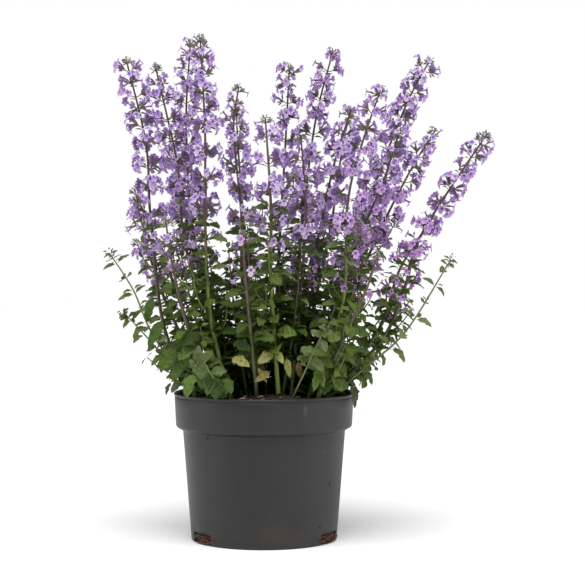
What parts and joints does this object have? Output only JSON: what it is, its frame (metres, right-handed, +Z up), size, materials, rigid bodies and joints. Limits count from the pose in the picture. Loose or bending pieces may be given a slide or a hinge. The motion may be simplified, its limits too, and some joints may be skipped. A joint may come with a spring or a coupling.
{
  "type": "catmint plant",
  "caption": "Clump of catmint in a deep-collared nursery pot: leafy upright and leaning stems that end in spikes of small lilac flowers",
  "frame": {"origin": "centre of the pot's flat underside, on the surface it stands on", "axes": "+Z up along the pot's axis, -Y towards the side seen first, +X to its right"},
  "size_m": [0.3933, 0.2768, 0.53],
  "materials": {
    "pot": "dark grey injection-moulded plastic, satin, a little dusty",
    "soil": "moist dark potting compost with bark chips and roots",
    "leaf": "soft matt grey-green leaves and square green to purple-brown stems",
    "flower": "matt lilac petals with darker throats in dull mauve-green calyces"
  },
  "bodies": {
    "root": {"pot": "pot", "root_ball": "soil", "shoot_back": "leaf", "shoot_back_left": "leaf", "shoot_back_right": "leaf", "shoot_left": "leaf", "shoot_right": "leaf", "shoot_rim_left": "leaf", "shoot_rim_right": "leaf", "spike_back": "flower", "spike_back_left": "flower", "spike_back_right": "flower", "spike_centre": "flower", "spike_centre_back": "flower", "spike_centre_left": "flower", "spike_far_left": "flower", "spike_far_right": "flower", "spike_front": "flower", "spike_front_left": "flower", "spike_left_back": "flower", "spike_left_low": "flower", "spike_left_outer": "flower", "spike_low_front": "flower", "spike_low_right": "flower", "spike_middle_low": "flower", "spike_rear_left": "flower", "spike_rear_right": "flower", "spike_right_back": "flower", "spike_right_front": "flower", "spike_right_inner": "flower", "spike_right_low": "flower", "spike_right_mid": "flower", "spike_right_tall": "flower", "spike_tallest": "flower", "stem_back": "leaf", "stem_back_left": "leaf", "stem_back_right": "leaf", "stem_centre": "leaf", "stem_centre_back": "leaf", "stem_centre_left": "leaf", "stem_far_left": "leaf", "stem_far_right": "leaf", "stem_front": "leaf", "stem_front_left": "leaf", "stem_left_back": "leaf", "stem_left_low": "leaf", "stem_left_outer": "leaf", "stem_low_front": "leaf", "stem_low_right": "leaf", "stem_middle_low": "leaf", "stem_rear_left": "leaf", "stem_rear_right": "leaf", "stem_right_back": "leaf", "stem_right_front": "leaf", "stem_right_inner": "leaf", "stem_right_low": "leaf", "stem_right_mid": "leaf", "stem_right_tall": "leaf", "stem_tallest": "leaf"}
  },
  "joints": []
}
